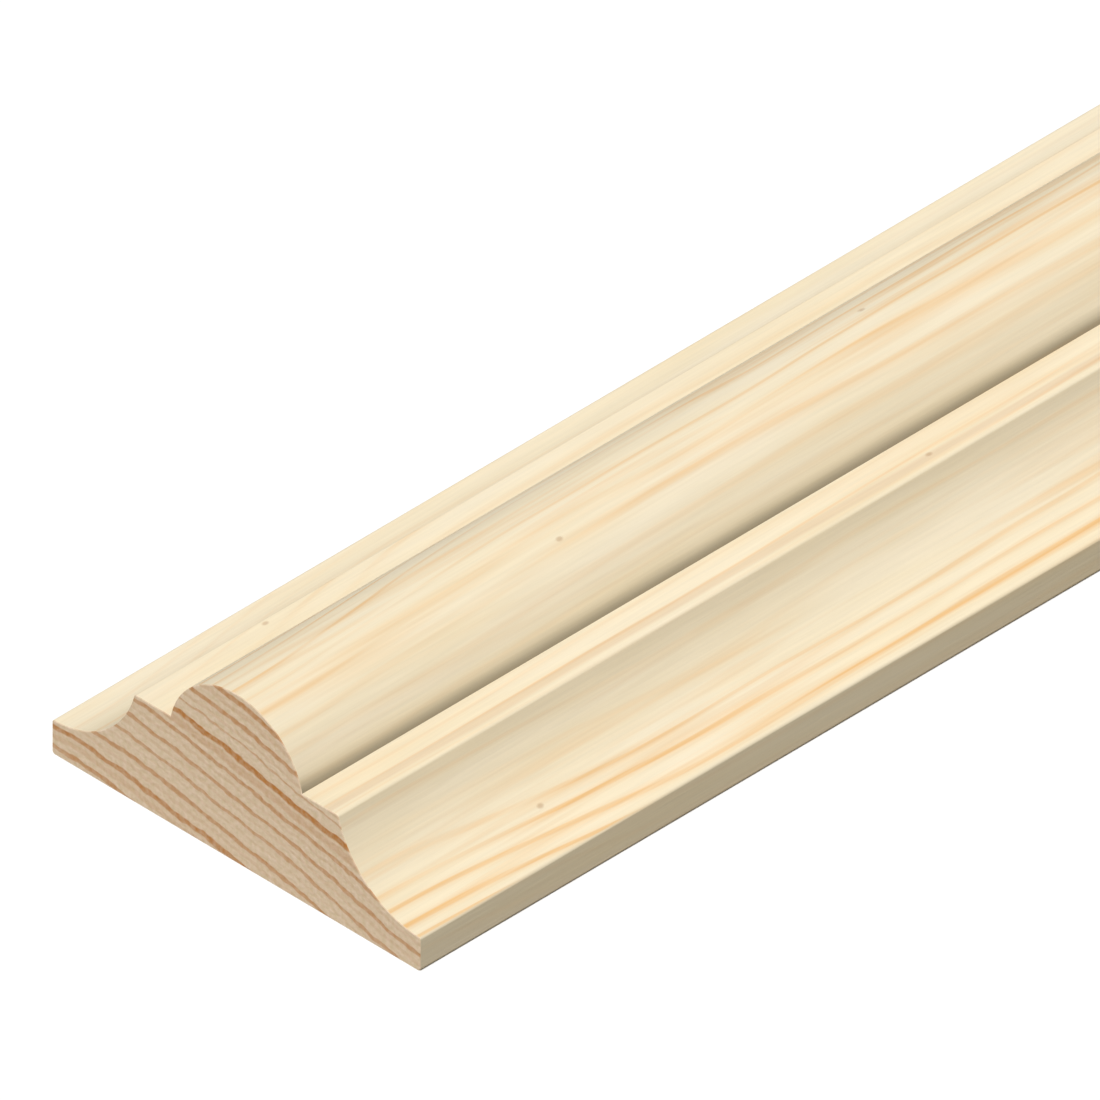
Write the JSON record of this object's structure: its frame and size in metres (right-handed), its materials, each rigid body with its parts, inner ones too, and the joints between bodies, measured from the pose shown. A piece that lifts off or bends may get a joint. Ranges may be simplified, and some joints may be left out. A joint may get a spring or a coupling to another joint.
{
  "type": "double astragal moulding",
  "caption": "Slim planed softwood trim strip with a half-round bead between two flats, hollow coves falling to thin edges, and a flat back for covering joints and making panels.",
  "frame": {"origin": "middle of the flat back, half way along the length, on the surface that the strip lies on", "axes": "+X across the width, +Y along the length and the grain, +Z out of the flat back towards the crown of the bead"},
  "size_m": [0.02, 2.4, 0.008],
  "materials": {
    "planed_pine": "planed, unfinished pine"
  },
  "bodies": {
    "root": {"double_astragal_moulding": "planed_pine"}
  },
  "joints": []
}
